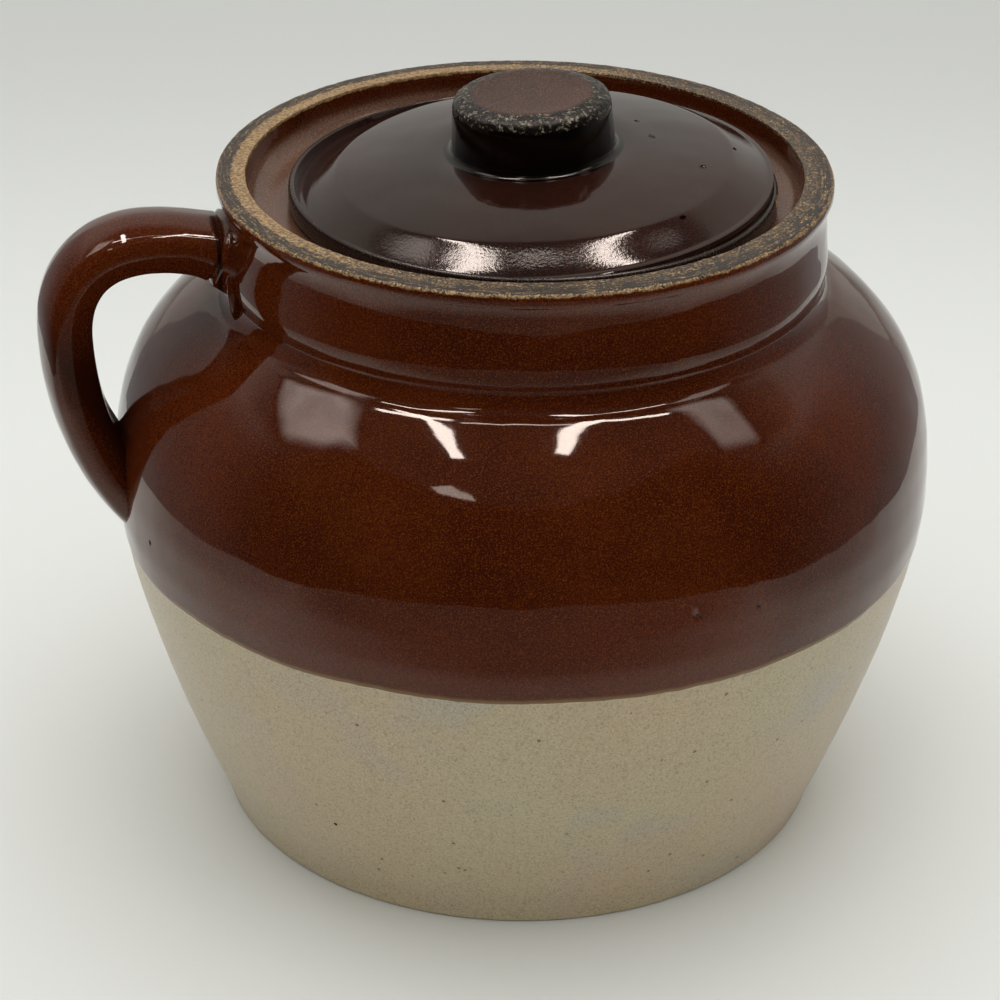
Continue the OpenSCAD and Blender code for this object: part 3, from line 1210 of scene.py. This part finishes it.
@dataclass
class Lid:
    """The loose inset lid, whose crown leans a little."""

    rest_h: float
    radius: float = 0.0625
    edge_t: float = 0.0052
    dip: float = 0.0003
    edge_round: float = 0.0014
    crown_foot_r: float = 0.0601
    foot_blend: float = 0.3
    crown_r: float = 0.0508
    crown_h: float = 0.0101
    crown_t: float = 0.0065
    land_h: float = 0.0139
    land_r: float = 0.024
    land_pull: float = 0.008
    lean: float = 3.0
    shift: float = 0.0022
    spigot_h: float = 0.0034
    spigot_r: float = 0.0545
    spigot_w: float = 0.006
    turn_steps: int = 320
    waves: Lumps = Lumps(0.0005, 0.03)
    glaze: SlipGlaze = SlipGlaze(
        thick=(0.010, 0.004, 0.003), usual=(0.022, 0.0058, 0.0036), thin=(0.042, 0.014, 0.008),
        gloss=0.055, peel=0.000010)
    edge_clay: BareClay = BareClay(
        clay=(0.045, 0.03, 0.021), pale=(0.12, 0.09, 0.06), dark=(0.008, 0.005, 0.004), gloss=0.5)
    chips: tuple[Hole, ...] = (Hole(-21.5, 0.0650, 0.1722, 0.0042, 0.0011, 1.7),)
    pits: tuple[Hole, ...] = (
        Hole(16.6, 0.0333, 0.1829, 0.0014, 0.0007, 1.3, 0.6),
        Hole(-3.8, 0.0328, 0.1829, 0.0018, 0.0009, 2.0, 0.5),
        Hole(-8.1, 0.0535, 0.1799, 0.0016, 0.0008, 1.4, 0.6),
        Hole(-26.5, 0.0459, 0.1813, 0.0018, 0.0009, 1.3, 0.5),
        Hole(-56.8, 0.0530, 0.1786, 0.0018, 0.0009, 1.3, 0.5),
    )

    @property
    def hollow_r(self) -> float:
        """The radius of the hollow under the crown."""
        return self.spigot_r - self.spigot_w

    def underside(self) -> list[Point]:
        """The outline below the flange, from its resting face up.

        Returns:
            Points from the hollow's middle out to the flange's edge.
        """
        roof = (self.land_r, self.land_h - self.crown_t)
        eave = (self.hollow_r, self.crown_h - self.crown_t)
        low = -self.spigot_h
        points = [(0, roof[1])]
        points += curve((roof, beside(roof, self.land_pull, 0), beside(eave, -0.010, 0.001),
                         beside(eave, -0.003, 0)), 10)
        points += round_off(eave, (-0.003, 0), (0, -0.003), 4)[1:]
        points += [(self.hollow_r, low + 0.001)]
        points += round_off((self.hollow_r, low), (0, 0.0008), (0.0008, 0), 3)
        points += round_off((self.spigot_r, low), (-0.0012, 0), (0, 0.0012), 4)
        points += round_off((self.spigot_r, 0), (0, -0.0006), (0.0006, 0), 2)
        points += round_off((self.radius, 0), (-self.edge_round, 0), (0, self.edge_round), 6)
        return points

    def upper_side(self) -> list[Point]:
        """The outline above the flange's edge.

        Returns:
            Points from the edge over the crown to its middle.
        """
        foot = (self.crown_foot_r, self.edge_t - self.dip)
        crease = (self.crown_r, self.crown_h)
        land = (self.land_r, self.land_h)
        out, up = foot[0] - crease[0], foot[1] - crease[1]
        slope = beside(foot, -self.foot_blend * out, -self.foot_blend * up)
        points = round_off((self.radius, self.edge_t), (0, -self.edge_round),
                           (-self.edge_round, 0), 7)
        points += curve((beside(foot, 0.0009, 0), foot, slope), 8)
        points += curve((slope, beside(crease, 0.4 * out, 0.4 * up),
                         beside(crease, 0.0012, -0.0005), crease), 14)[1:]
        points += curve((crease, beside(crease, -0.008, 0.0019),
                         beside(land, self.land_pull, 0), land), 26)[1:]
        return points + [(r, self.land_h) for r in span(self.land_r, 0, 8)[1:]]

    def crown_share(self, at: Vector) -> float:
        """How strongly the crown is worked at a place: not at all near the knob."""
        return swell(math.hypot(at.x, at.y), 0.025, 0.034) if at.z > self.edge_t else 0.0

    def leans(self, at: Vector) -> bool:
        """Whether a place is on the crown or in the hollow under it, which lean."""
        radius = math.hypot(at.x, at.y)
        on_crown = (radius < self.radius - self.edge_round - 0.0003
                    and at.z > self.edge_t - self.dip - 0.0001)
        return on_crown or (radius < self.hollow_r - 0.0008 and at.z > 0)

    def lean_over(self) -> None:
        """Leans the selected part of the open piece about the middle of the crown's top."""
        bpy.ops.transform.rotate(value=math.radians(self.lean), orient_axis="Y",
                                 center_override=(0, 0, self.land_h))

    def set_down(self) -> None:
        """Moves all of the open piece to its place on the ledge, and closes it."""
        select_mesh()
        bpy.ops.transform.translate(value=(self.shift, 0, self.rest_h))
        close_up()

    def build(self) -> Piece:
        """Models the lid, leans its crown and sets it on the ledge.

        Returns:
            The lid.
        """
        lid = spin_outline("lid_disc", self.underside() + self.upper_side(), self.turn_steps)
        roughen(lid, self.waves, self.crown_share)
        pick_points(lid, self.leans)
        self.lean_over()
        self.set_down()
        glaze = self.finish()
        lid.data.materials.append(glaze)
        punch(lid, self.chips, self.chip_finish())
        punch(lid, self.pits, glaze)
        smooth(lid, 40)
        return lid

    def finish(self) -> Material:
        """The lid's dark glaze, dull and pimpled on the crown's slope and bare underneath.

        Returns:
            The material.
        """
        recipe = Recipe("lid_glaze", (self.shift, 0.0, self.rest_h))
        radius = recipe.radius
        slope = recipe.band(radius, self.crown_r - 0.001, self.crown_r + 0.001) \
            * recipe.band(radius, self.radius - 0.001, self.radius - 0.004)
        crown = self.glaze.lay(recipe)
        crown = replace(crown, gloss=crown.gloss + slope * 0.03,
                        relief=crown.relief + recipe.noise(1300, 2, 0.6) * slope * 0.000025)
        edge = recipe.band(radius + recipe.wander(0.002, 260, 3, 0.6),
                           self.radius - 0.0024, self.radius - 0.0004)
        clay = self.edge_clay.lay(recipe, recipe.level(recipe.noise(120, 2, 0.6), -0.3, 0.6))
        bare = BareClay().lay(recipe, recipe.level(recipe.noise(200, 2, 0.6), 0.5, 1.0))
        under = recipe.band(recipe.height, 0.0008, -0.0002)
        worn = recipe.lay_over(edge * 0.6, crown, clay)
        return recipe.fire(recipe.lay_over(under, worn, bare), IRON_SHEEN)

    def chip_finish(self) -> Material:
        """Bare clay in a chip of the lid's edge."""
        recipe = Recipe("chipped_clay")
        return recipe.fire(BareClay().lay(recipe, recipe.level(recipe.noise(400), 0.7, 1.0)))


@dataclass
class Knob:
    """The turned knob, luted onto the lid's crown."""

    lid: Lid
    radius: float = 0.0201
    foot_r: float = 0.0208
    height: float = 0.015
    bevel_h: float = 0.0024
    bevel_w: float = 0.0038
    dish: float = 0.0005
    fillet: float = 0.0021
    bury: float = 0.0008
    turn_steps: int = 256
    wear: Lumps = Lumps(0.0005, 0.0013, 0.95)
    side_glaze: SlipGlaze = SlipGlaze(
        thick=(0.0009, 0.0005, 0.0004), usual=(0.0016, 0.0009, 0.0006),
        thin=(0.0035, 0.0018, 0.001), gloss=0.12)
    top_glaze: SlipGlaze = SlipGlaze(
        thick=(0.016, 0.006, 0.004), usual=(0.064, 0.021, 0.013), thin=(0.24, 0.11, 0.065),
        gloss=0.42, peel=0.00006)
    clay: BareClay = BareClay(
        clay=(0.09, 0.072, 0.052), pale=(0.30, 0.26, 0.19), dark=(0.006, 0.005, 0.004), gloss=0.5)
    scratch: Colour = (0.02, 0.009, 0.007)
    mirror: float = 1.4

    def outline(self) -> list[Point]:
        """The knob's outline above the lid's land.

        Returns:
            Points from the middle of its foot round to the middle of its top.
        """
        top = self.height
        bevel = (self.radius, top - self.bevel_h)
        points = [(0, -self.bury), (self.foot_r + self.fillet * 0.8, -self.bury)]
        points += round_off((self.foot_r, 0), (self.fillet, 0), (0, self.fillet), 8)
        points += list(zip(span(self.foot_r, self.radius, 10),
                           span(self.fillet, bevel[1], 10)))[1:]
        points += curve((bevel, (self.radius, top - self.bevel_h / 3),
                         (self.radius - self.bevel_w, top)), 14)[1:]
        points += curve(((self.radius - self.bevel_w - 0.001, top),
                         (self.radius / 2, top - self.dish), (0, top - self.dish)), 16)
        return points

    def build(self) -> Piece:
        """Models the knob and sets it on the leaning crown.

        Returns:
            The knob.
        """
        knob = spin_outline("knob_turned", self.outline(), self.turn_steps)
        roughen(knob, self.wear, self.worn_share)
        pick_points(knob, lambda at: True)
        bpy.ops.transform.translate(value=(0, 0, self.lid.land_h))
        self.lid.lean_over()
        self.lid.set_down()
        knob.data.materials.append(self.finish())
        smooth(knob, 60)
        return knob

    def worn_share(self, at: Vector) -> float:
        """How worn the knob is at a place: most round the edge of its top."""
        edge_h, edge_r = self.height - self.bevel_h, self.radius - self.bevel_w
        return swell(at.z, edge_h - 0.001, edge_h) \
            * swell(math.hypot(at.x, at.y), edge_r - 0.0015, edge_r)

    def finish(self) -> Material:
        """The knob's glaze: black sides, a red-brown top and a ring worn rough between them.

        Returns:
            The material.
        """
        lid = self.lid
        recipe = Recipe("knob_glaze", (lid.shift, 0.0, lid.rest_h + lid.land_h), lid.lean)
        side, top = self.side_glaze.lay(recipe), self.top_glaze.lay(recipe)
        scratch_line = abs(recipe.x * 0.62 + (0.0035 - recipe.y))
        scratch = recipe.band(scratch_line, 0.0004, 0.0001) * recipe.band(recipe.x, 0.002, -0.001)
        top = replace(top, colour=recipe.blend(scratch * 0.7, top.colour, self.scratch))
        ragged = recipe.wander(0.0042, 330, 3, 0.65)
        ring_r, ring_h = self.radius - self.bevel_w - 0.0008, self.height - self.bevel_h
        on_ring = recipe.band(recipe.radius + ragged, ring_r - 0.0005, ring_r + 0.0005) \
            * recipe.band(recipe.height + ragged, ring_h - 0.0012, ring_h - 0.0003)
        on_top = recipe.band(recipe.height, self.height - 0.002, self.height - 0.001) \
            * recipe.band(recipe.radius, ring_r + 0.002, ring_r)
        worn = self.clay.lay(recipe, recipe.band(recipe.noise(700, 2, 0.7), 0.46, 0.64) * 0.55)
        dressed = recipe.lay_over(on_ring, recipe.lay_over(on_top, side, top), worn)
        return recipe.fire(dressed, IRON_SHEEN, self.mirror)


# ---------------------------------------------------------------- the studio


@dataclass(frozen=True)
class Strip:
    """A lamp strip under the ceiling, shining down."""

    name: str
    place: Place
    size: Point
    radiance: float
    turn: float = 0.0


@dataclass(frozen=True)
class SoftPanel:
    """A soft-edged glowing panel, aimed at the pot from a direction."""

    name: str
    azimuth: float
    elevation: float
    size: Point
    radiance: float
    turn: float = 0.0


@dataclass
class Studio:
    """The floor, the lamps, the tent that the pot stands in, and the camera."""

    aim: Place = (0.0, 0.0, 0.13)
    view_turn: float = -13.0
    camera_place: Place = (-0.1665, -0.6962, 0.4684)
    camera_pitch: float = 0.4972
    camera_roll: float = 0.0084
    lens: float = 108.56
    sensor: float = 36.0
    nearest: float = 0.05
    floor_size: float = 6.0
    floor_colour: Colour = (0.84, 0.85, 0.815)
    wall_colour: Colour = (0.55, 0.55, 0.52)
    ceiling_colour: Colour = (0.09, 0.09, 0.09)
    sheet_size: float = 1.2
    sheet_lift: float = 0.0006
    tent_half_w: float = 0.355
    tent_depth: float = 0.52
    tent_h: float = 0.62
    tent_sweep: float = 250.0
    panel_distance: float = 1.3
    strips: tuple[Strip, ...] = (
        Strip("strip_left", (-0.385, 0.19, 1.5), (1.02, 0.08), 24.0, 88.5),
        Strip("strip_right", (0.277, 0.028, 1.5), (0.86, 0.08), 24.0, 66.1),
        Strip("strip_far_left", (-0.41, 0.235, 1.5), (0.34, 0.07), 22.0, -33.0),
        Strip("strip_far_middle", (0.02, 0.01, 1.5), (0.56, 0.032), 12.0, -12.0),
        Strip("strip_far_right", (0.46, 0.0, 1.5), (0.36, 0.07), 22.0, 4.0),
        Strip("small_lamp", (-0.70, -0.90, 1.5), (0.13, 0.36), 5.0),
    )
    fill: Strip = Strip("soft_fill", (0.0, 0.0, 1.8), (2.6, 2.6), 1.9)
    panels: tuple[SoftPanel, ...] = (
        SoftPanel("panel_left", 293.0, 53.0, (0.74, 0.44), 3.6, 12.0),
        SoftPanel("panel_right", 92.0, 55.0, (0.70, 0.30), 2.8, -38.0),
    )

    def build(self) -> None:
        """Sets the studio up."""
        self.lay_floor()
        self.lay_floor_shade_sheet()
        self.pitch_tent()
        for strip in self.strips:
            self.hang(strip)
        for panel in self.panels:
            self.stand_panel(panel)
        fill = self.hang(self.fill)
        fill.visible_diffuse, fill.visible_glossy = True, False
        self.surround()
        self.point_camera()

    def facing(self, layout: Layout) -> tuple[Value, Value]:
        """Where a place is, as the camera sees it.

        Args:
            layout: The nodes under way.

        Returns:
            How far right of and how far in front of the pot's axis it is.
        """
        turn = math.radians(-self.view_turn)
        right = layout.x * math.cos(turn) - layout.y * math.sin(turn)
        front = (layout.x * math.sin(turn) + layout.y * math.cos(turn)) * -1.0
        return right, front

    def lay_floor(self) -> None:
        """Lays the pale floor, with painted falloff of light: darker towards the back."""
        floor = new_plane("floor", self.floor_size)
        recipe = Recipe("pale_floor")
        cloud = recipe.level(recipe.noise(3.0), 0.985, 1.0)
        # painted falloff of light: the floor's colour darkens towards the back
        far = recipe.band(self.facing(recipe)[1], -0.16, -0.62) * 0.24
        colour = recipe.blend(cloud, tuple(0.9 * c for c in self.floor_colour), self.floor_colour)
        colour = recipe.blend(far, colour, (0.0, 0.0, 0.0))
        floor.data.materials.append(
            recipe.fire(Surface(colour, recipe.level(cloud, 0.55, 0.6), 0.0)))

    def hide_card(self, card: Piece) -> None:
        """Keeps a card out of the camera's view and its shadow off the floor.

        Args:
            card: The card.
        """
        card.visible_camera = False
        card.visible_diffuse = False
        card.visible_shadow = False

    def lay_floor_shade_sheet(self) -> None:
        """Lays a glowing grey sheet on the floor in front, seen only in the glaze's reflections:
        painted shade of the floor before the pot, a little lighter at its sides.
        """
        sheet = new_plane("painted_floor_shade", self.sheet_size)
        sheet.data.transform(Matrix.Translation((0, 0, self.sheet_lift)))
        recipe = Recipe("painted_floor_shade")
        right, front = self.facing(recipe)
        # painted shade: the sheet's glow stands in for the shaded floor in front, a little lighter
        # at the sides
        side = recipe.band(abs(right), 0.22, 0.34) * recipe.band(front, -0.12, 0.02)
        solid = recipe.most(recipe.band(front, 0.13, 0.28), side * 0.7)
        sheet.data.materials.append(recipe.glow(side * 0.12 + 0.2, solid))
        self.hide_card(sheet)

    def pitch_tent(self) -> None:
        """Stands a glowing curved wall round the front, seen only in reflections: dark before the
        pot and greyer at its sides.
        """
        tent = start_point("tent_wall", (0, -1, 0))
        extrude((0, 0, self.tent_h))
        spin(64, math.radians(self.tent_sweep))
        bpy.ops.object.mode_set(mode="OBJECT")
        swept_right = sum(point.co.x for point in tent.data.vertices) > 0
        half = math.radians(self.tent_sweep / 2)
        centred = Matrix.Rotation(-half if swept_right else half, 4, "Z")
        shape = Matrix.Diagonal((self.tent_half_w, self.tent_depth, 1.0, 1.0))
        tent.data.transform(Matrix.Rotation(math.radians(self.view_turn), 4, "Z")
                            @ shape @ centred)
        recipe = Recipe("tent_wall")
        away = abs(recipe.sums("ARCTAN2", *self.facing(recipe)) * (180 / math.pi))
        height = recipe.height
        high = recipe.band(height, 0.27, 0.46) * recipe.band(away, 70.0, 90.0)
        cut = recipe.band(away, 66.0, 84.0) * recipe.band(height, 0.34, 0.42)
        # the wall glows and shows only in reflections: dark before the pot, greyer at its sides
        tone = recipe.band(away, 58.0, 92.0) * 0.17 + recipe.band(away, 92.0, 125.0) * 0.16
        tent.data.materials.append(recipe.glow(tone + high * 0.42 + 0.012, 1.0 - cut))
        self.hide_card(tent)

    def hang(self, strip: Strip) -> Piece:
        """Hangs a lamp strip.

        Args:
            strip: The strip.

        Returns:
            The lamp.
        """
        light = bpy.data.lights.new(strip.name, "AREA")
        light.shape = "RECTANGLE"
        light.size, light.size_y = strip.size
        light.energy = strip.radiance * math.pi * strip.size[0] * strip.size[1]
        lamp = bpy.data.objects.new(strip.name, light)
        bpy.context.scene.collection.objects.link(lamp)
        lamp.matrix_world = Matrix.Translation(strip.place) @ Matrix.Rotation(
            math.radians(strip.turn), 4, "Z")
        lamp.visible_diffuse = False
        return lamp

    def stand_panel(self, panel: SoftPanel) -> None:
        """Stands a soft panel.

        Args:
            panel: The panel.
        """
        plate = new_plane(panel.name, 1.0)
        up, azimuth = math.radians(panel.elevation), math.radians(panel.azimuth)
        way = Vector((math.sin(azimuth) * math.cos(up), math.cos(azimuth) * math.cos(up),
                      math.sin(up)))
        place = Vector(self.aim) + way * self.panel_distance
        faced = (-way).to_track_quat("Z", "Y").to_matrix().to_4x4()
        spun = Matrix.Rotation(math.radians(panel.turn), 4, "Z")
        plate.data.transform(Matrix.Translation(place) @ faced @ spun
                             @ Matrix.Diagonal((*panel.size, 1.0, 1.0)))
        recipe = Recipe(panel.name)
        sheet = Layout(recipe.tree, "UV")
        tone = recipe.level(recipe.noise(4.0, 3, 0.6), 0.35, 1.5) * panel.radiance
        for across in (sheet.x, sheet.y):
            tone = tone * recipe.band(0.5 - abs(across - 0.5), 0.0, 0.26)
        plate.data.materials.append(recipe.glow(tone))
        self.hide_card(plate)

    def surround(self) -> None:
        """A pale wall low down all round, and a dim ceiling that comes lower at the back."""
        world = bpy.data.worlds.new("room")
        bpy.context.scene.world = world
        world.use_nodes = True
        layout = Layout(world.node_tree, "Generated")
        behind = layout.most(self.facing(layout)[1] * -1.0, 0.0)
        rise = layout.band(layout.height - behind * 0.5, 0.38, 0.62)
        room = layout.blend(rise, self.wall_colour, self.ceiling_colour)
        back = world.node_tree.nodes["Background"]
        layout.join(room, back.inputs["Color"])
        layout.join(1.0, back.inputs["Strength"])

    def point_camera(self) -> None:
        """Sets the camera at the photograph's angle."""
        camera = bpy.data.cameras.new("camera")
        camera.sensor_width = self.sensor
        camera.lens = self.lens
        camera.clip_start = self.nearest
        holder = bpy.data.objects.new("camera", camera)
        bpy.context.scene.collection.objects.link(holder)
        level = Matrix.Rotation(math.radians(self.view_turn), 4, "Z")
        tilt = Matrix.Rotation(math.pi / 2 - self.camera_pitch, 4, "X")
        roll = Matrix.Rotation(self.camera_roll, 4, "Z")
        holder.matrix_world = Matrix.Translation(self.camera_place) @ level @ tilt @ roll
        bpy.context.scene.camera = holder


def main() -> None:
    """Builds the pot's pieces in order, dresses them and sets the studio up."""
    logging.basicConfig(level=logging.INFO, format="%(name)s: %(message)s")
    bpy.context.scene.view_settings.view_transform = "Standard"
    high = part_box("pot_body")[1]
    pot = Pot(belly_r=0.108, rim_h=high.z)
    hand_over(pot.build(), Body.POT, "pot_body")
    hand_over(Handle(pot).build(), Body.POT, "handle")
    lid = Lid(rest_h=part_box("lid")[0].z + 0.0034)
    hand_over(lid.build(), Body.LID, "lid")
    hand_over(Knob(lid).build(), Body.LID, "knob")
    Studio().build()


if __name__ == "__main__":
    main()
